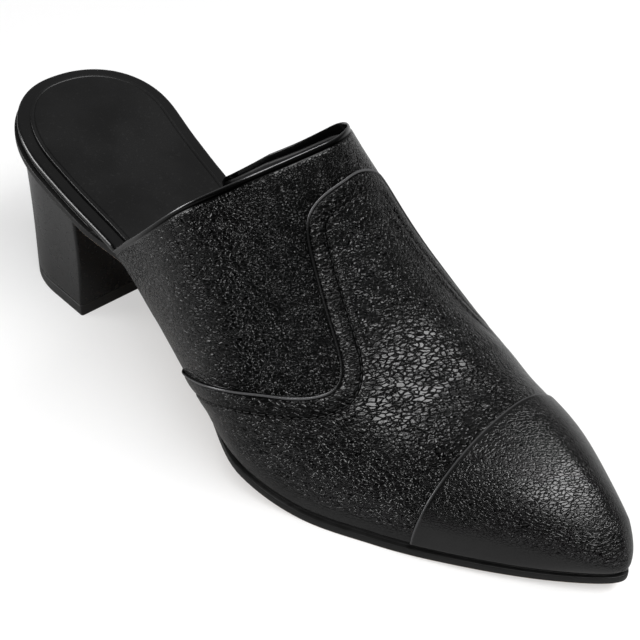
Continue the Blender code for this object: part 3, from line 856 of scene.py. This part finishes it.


# The band's section: distance from the edge, height over the last, and how much shade is painted there
BAND_SECTION = [
    (-0.0003, -0.00006, 0.0), (-0.0002, 0.00004, 0.5), (0.0, 0.00004, 0.6), (0.0003, 0.00004, 0.6),
]
for distance, height in arc(BEAD_ROUND, BAND_HEIGHT - BEAD_ROUND, BEAD_ROUND, -90, -316, 14):
    BAND_SECTION.append((distance, height, 0.0))
BAND_SECTION += [
    (0.00080, 0.00080, 0.9), (0.00100, 0.00074, 1.0), (0.0013, 0.00082, 0.5), (0.0016, 0.00091, 0.0),
    (0.0023, 0.00095, 0.1), (0.0031, 0.00095, 0.3), (0.0039, 0.00090, 0.4), (0.0046, 0.00080, 0.5),
    (0.0051, 0.00070, 0.5), (0.0055, 0.00060, 0.5), (0.0058, 0.00048, 0.8), (0.0060, 0.00034, 1.0),
    (0.0062, 0.00028, 1.0), (0.0064, 0.00034, 1.0), (0.0066, 0.00050, 0.6), (0.0069, 0.00058, 0.0),
    (0.0074, 0.00054, 0.0), (0.0080, 0.00047, 0.0),
]
SEAM_HEIGHT = 0.00032
EVEN_SHARE = 0.45           # how far the vamp's columns move to an even spread by the time they reach the cap

ways = edge_ways(edge)
# Where the bead runs down the tongue's side it lies in shade, so less highlight is painted there
bead_in_shade = ease(edge[:, 1], -0.47, -0.40) * ease(edge[:, 1], -0.17, -0.22)
rows, calms, lines, highlights = [], [], [], []
for distance, height, pressed in BAND_SECTION:
    x, v = walk(edge[:, 0], edge[:, 1], ways, distance)
    rows.append(upper_point(x, v, height + folds(x, v)))
    calms.append(np.maximum(0.2 + 0.8 * ease(distance, 0.0014, 0.0008), 0.8 * ease(np.abs(v), 0.86, 0.96)))
    # Painted shade in the gap beside the bead, in the dip inside it, down the band's slope and in the stitch
    # groove
    lines.append(pressed + 0 * v)
    crest = ease(height + 0 * v, 0.7 * BAND_HEIGHT, 0.97 * BAND_HEIGHT) * (distance <= 2 * BEAD_ROUND)
    highlights.append(crest * (1 - 0.85 * bead_in_shade))
start_x, start_v = x, v
last_distance, last_height, _ = BAND_SECTION[-1]
gone = np.concatenate(([0], np.linalg.norm(np.diff(rows[-1], axis=0), axis=-1).cumsum()))
end_v = (1 - EVEN_SHARE) * start_v + EVEN_SHARE * (2 * gone / gone[-1] - 1)
end_x = cap_x(end_v) + CAP_OVERLAP
seam_x, seam_v = walk(edge[:, 0], edge[:, 1], ways, BAND_WIDTH)
for share in np.linspace(0, 1, VAMP_ROWS + 1)[1:]:
    x = start_x + (end_x - start_x) * share
    v = start_v + (end_v - start_v) * share
    travelled = np.hypot(x - start_x, around(x, v) - around(start_x, start_v))
    height = last_height * ease(travelled, BAND_FADE - last_distance, 0.0)
    under = 0.0007 * ease(x - cap_x(v), -0.0002, 0.0006)
    rows.append(upper_point(x, v, height + folds(x, v) - under))
    near_sole = 0.85 * ease(np.abs(v), 0.80, 0.95)
    calms.append(np.maximum(near_sole, 0.65 * ease(v, 0.12, 0.42)))
    lines.append(0 * v)
    highlights.append(0 * v)
vamp_leather = grained_leather(
    "vamp_leather", 0.0011, (0.45, 1.0, 1.0), VAMP_LIE, 0.00024, 0.20, gloss=0.85)
vamp = add_piece("vamp", rows, grid_faces(len(rows), len(edge)), vamp_leather)
set_marks(vamp, calms, lines, highlights)
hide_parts("vamp_band", "upper")


# Vamp stitches
# One row of black bonded thread that holds the vamp's double edge to the quarter, four stitches to the
# centimetre, each pulled down into the leather at both ends.
STITCH_PITCH = 0.0025
STITCH_LENGTH = 0.0021
THREAD_RADIUS = 0.00020
STITCH_RINGS = 9
THREAD_SIDES = 8


def thread_finish():
    """Bonded thread: black, satin, with its twist as a fine bump."""
    material, tree, shader, place = add_material("thread", (0.010, 0.010, 0.010), 0.5)
    hand = effect(tree, "handling", where=place, size=0.01)
    twist = node(tree, "TexNoise", {"Vector": place, "Scale": 5200.0, "Detail": 1.0}).outputs["Fac"]
    two_tone(tree, shader, hand["Patch"], (0.006, 0.006, 0.006), (0.013, 0.013, 0.013))
    tree.links.new(spread(tree, twist, 0.3, 0.7, 0.42, 0.6), shader.inputs["Roughness"])
    relief(tree, shader, twist, 0.00003)
    return material


def stitch_points(start, end, facing):
    """One stitch between two places on the seam: a short thread whose ends dip into the leather."""
    along = (end - start) / np.linalg.norm(end - start)
    across = np.cross(facing, along)
    rings = []
    for share in np.linspace(0, 1, STITCH_RINGS):
        swell = sin(pi * (0.08 + 0.84 * share)) ** 0.35
        centre = start + (end - start) * share + facing * THREAD_RADIUS * (2.2 * sin(pi * share) ** 0.5 - 1.6)
        for turn in np.linspace(0, 2 * pi, THREAD_SIDES, endpoint=False):
            rings.append(centre + THREAD_RADIUS * swell * (across * cos(turn) + facing * sin(turn)))
    return rings


seam = upper_point(seam_x, seam_v, SEAM_HEIGHT + folds(seam_x, seam_v))
lifted = upper_point(seam_x, seam_v, SEAM_HEIGHT + 0.001)
reach = np.concatenate(([0], np.linalg.norm(np.diff(seam, axis=0), axis=-1).cumsum()))
points, faces = [], []
for begin in np.arange(STITCH_PITCH / 2, reach[-1] - STITCH_PITCH, STITCH_PITCH):
    ends = []
    for at in (begin, begin + STITCH_LENGTH):
        ends.append(np.array([np.interp(at, reach, seam[:, n]) for n in range(3)]))
    middle = begin + STITCH_LENGTH / 2
    facing = np.array([np.interp(middle, reach, lifted[:, n] - seam[:, n]) for n in range(3)])
    first = len(points)
    points += stitch_points(*ends, facing / np.linalg.norm(facing))
    faces += [[first + n for n in face] for face in grid_faces(STITCH_RINGS, THREAD_SIDES, closed=True)]
    faces.append([first + n for n in range(THREAD_SIDES)])
    faces.append([first + (STITCH_RINGS - 1) * THREAD_SIDES + n for n in reversed(range(THREAD_SIDES))])
stitches = add_piece("vamp_stitches", points, faces, thread_finish())


# Toe cap
# A cap of finer-grained black leather, laid over the vamp's front and lasted under with it. Its rear edge
# is turned in and stands a little proud of the vamp.
CAP_PROUD = 0.0006
CAP_EDGE_ROUND = 0.00030
CAP_ROWS = 150
CAP_COLUMNS = 240

v = girth_places(CAP_COLUMNS)
rows, calms, lines, highlights = [], [], [], []
lip = [(-0.0003, -0.00005, 0.0), (-0.0002, 0.00004, 1.0), (0.0, 0.00004, 1.0), (0.0002, 0.00003, 1.0)]
lip += [(a, h, 0.0) for a, h in arc(CAP_EDGE_ROUND, CAP_PROUD - CAP_EDGE_ROUND, CAP_EDGE_ROUND, -90, -270, 8)]
for a, height, pressed in lip:
    x = cap_x(v) + a
    rows.append(upper_point(x, v, height + 0 * v))
    calms.append(1.0 + 0 * v)
    # Painted shade in the strip under the cap's turned edge, and a painted highlight on the edge's crest
    lines.append(pressed + 0 * v)
    crest = ease(height + 0 * v, 0.6 * CAP_PROUD, 0.95 * CAP_PROUD)
    highlights.append(0.8 * crest * ease(a + 0 * v, 0.0004, 0.0003))
start = cap_x(v) + 0.0008
for share in np.linspace(0, 1, CAP_ROWS + 1):
    share = sin(pi / 2 * share)
    x = start + (LAST_LENGTH + CAP_PROUD - start) * share
    rows.append(upper_point(x, v, CAP_PROUD + 0 * v))
    near_sole = 0.95 * ease(np.abs(v), 0.62, 0.86)
    near_edge = ease(x - cap_x(v), 0.0018, 0.0008)
    calms.append(np.maximum(np.maximum(near_sole, near_edge), 0.6 * ease(v, -0.1, 0.5)))
    lines.append(0 * v)
    highlights.append(0 * v)
cap_leather = grained_leather("cap_leather", 0.0008, (0.5, 1.0, 1.0), VAMP_LIE, 0.00009, 0.25)
cap = add_piece("toe_cap_leather", rows, grid_faces(len(rows), len(v)), cap_leather)
set_marks(cap, calms, lines, highlights)
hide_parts("toe_cap")


# Floor, light and camera
# A plain studio floor that the camera sees as white, a large soft strip light above and in front of the toe,
# and a weaker low panel behind the heel on its outer side. The camera stands in front of the toe on the
# outer side, at the photograph's angle.
FLOOR_SIZE = 12.0
FLOOR_GLOW = 0.50           # for the camera alone, so that the floor lights nothing
LAMPS_AIM = Vector((0.02, 0.0, 0.03))
SKY_BRIGHTEST = (-0.35, 0.5, 0.8)               # its brightest place, above the heel on the inner side
CAMERA_TARGET = Vector((0.0074, 0.0023, 0.0323))
CAMERA_DISTANCE = 0.4149
CAMERA_AZIMUTH = radians(44.12)
CAMERA_ELEVATION = radians(39.70)
CAMERA_ROLL = radians(2.63)
CAMERA_VIEW = radians(27.35)

mesh = bpy.data.meshes.new("floor")
half = FLOOR_SIZE / 2
corners = [(-half, -half, 0), (half, -half, 0), (half, half, 0), (-half, half, 0)]
mesh.from_pydata(corners, [], [(0, 1, 2, 3)])
floor_paint, tree, shader, place = add_material("floor_paint", (0.9, 0.9, 0.9), 0.9, 0.1)
speck = node(tree, "TexNoise", {"Vector": place, "Scale": 300.0}).outputs["Fac"]
two_tone(tree, shader, speck, (0.40, 0.40, 0.40), (0.41, 0.41, 0.41))
seen = tree.nodes.new("ShaderNodeLightPath").outputs["Is Camera Ray"]
tree.links.new(seen, shader.inputs["Emission Color"])
shader.inputs["Emission Strength"].default_value = FLOOR_GLOW
mesh.materials.append(floor_paint)
floor = bpy.data.objects.new("floor", mesh)
bpy.context.collection.objects.link(floor)

# Places and sizes in metres, power in watts
Lamp = namedtuple("Lamp", "name place width height power")
LAMPS = (
    Lamp("strip_above", (0.59, 0.08, 1.04), 1.6, 0.48, 26),
    Lamp("panel_at_heel", (-0.80, -0.88, 0.26), 0.7, 0.5, 12),
)
for lamp in LAMPS:
    data = bpy.data.lights.new(lamp.name, "AREA")
    data.shape = "RECTANGLE"
    data.size = lamp.width
    data.size_y = lamp.height
    data.energy = lamp.power
    light = bpy.data.objects.new(lamp.name, data)
    light.location = lamp.place
    light.rotation_mode = "QUATERNION"
    light.rotation_quaternion = (LAMPS_AIM - light.location).to_track_quat("-Z", "Y")
    bpy.context.collection.objects.link(light)

world = bpy.data.worlds.new("studio")
world.use_nodes = True
sky = world.node_tree
place = sky.nodes.new("ShaderNodeTexCoord").outputs["Generated"]
way = node(sky, "VectorMath", {0: place, 1: SKY_BRIGHTEST}, operation="DOT_PRODUCT").outputs["Value"]
seen = sky.nodes.new("ShaderNodeLightPath").outputs["Is Camera Ray"]
strength = reckon(sky, "MAXIMUM", spread(sky, way, 0.15, 1.0, 0.02, 0.26), seen)
sky.links.new(strength, sky.nodes["Background"].inputs["Strength"])
sky.nodes["Background"].inputs["Color"].default_value = (1, 1, 1, 1)
bpy.context.scene.world = world
bpy.context.scene.view_settings.view_transform = "Standard"

back = Vector((
    cos(CAMERA_AZIMUTH) * cos(CAMERA_ELEVATION),
    -sin(CAMERA_AZIMUTH) * cos(CAMERA_ELEVATION),
    sin(CAMERA_ELEVATION),
))
right = (-back).cross(Vector((0, 0, 1))).normalized()
up = back.cross(right)
turned_right = right * cos(CAMERA_ROLL) + up * sin(CAMERA_ROLL)
turned_up = up * cos(CAMERA_ROLL) - right * sin(CAMERA_ROLL)
camera_data = bpy.data.cameras.new("camera")
camera_data.sensor_width = 36
camera_data.lens = camera_data.sensor_width / 2 / tan(CAMERA_VIEW / 2)
camera_data.clip_start = 0.01
camera = bpy.data.objects.new("camera", camera_data)
camera.matrix_world = Matrix.Translation(CAMERA_TARGET + back * CAMERA_DISTANCE) @ Matrix(
    (turned_right, turned_up, back)).transposed().to_4x4()
bpy.context.collection.objects.link(camera)
bpy.context.scene.camera = camera
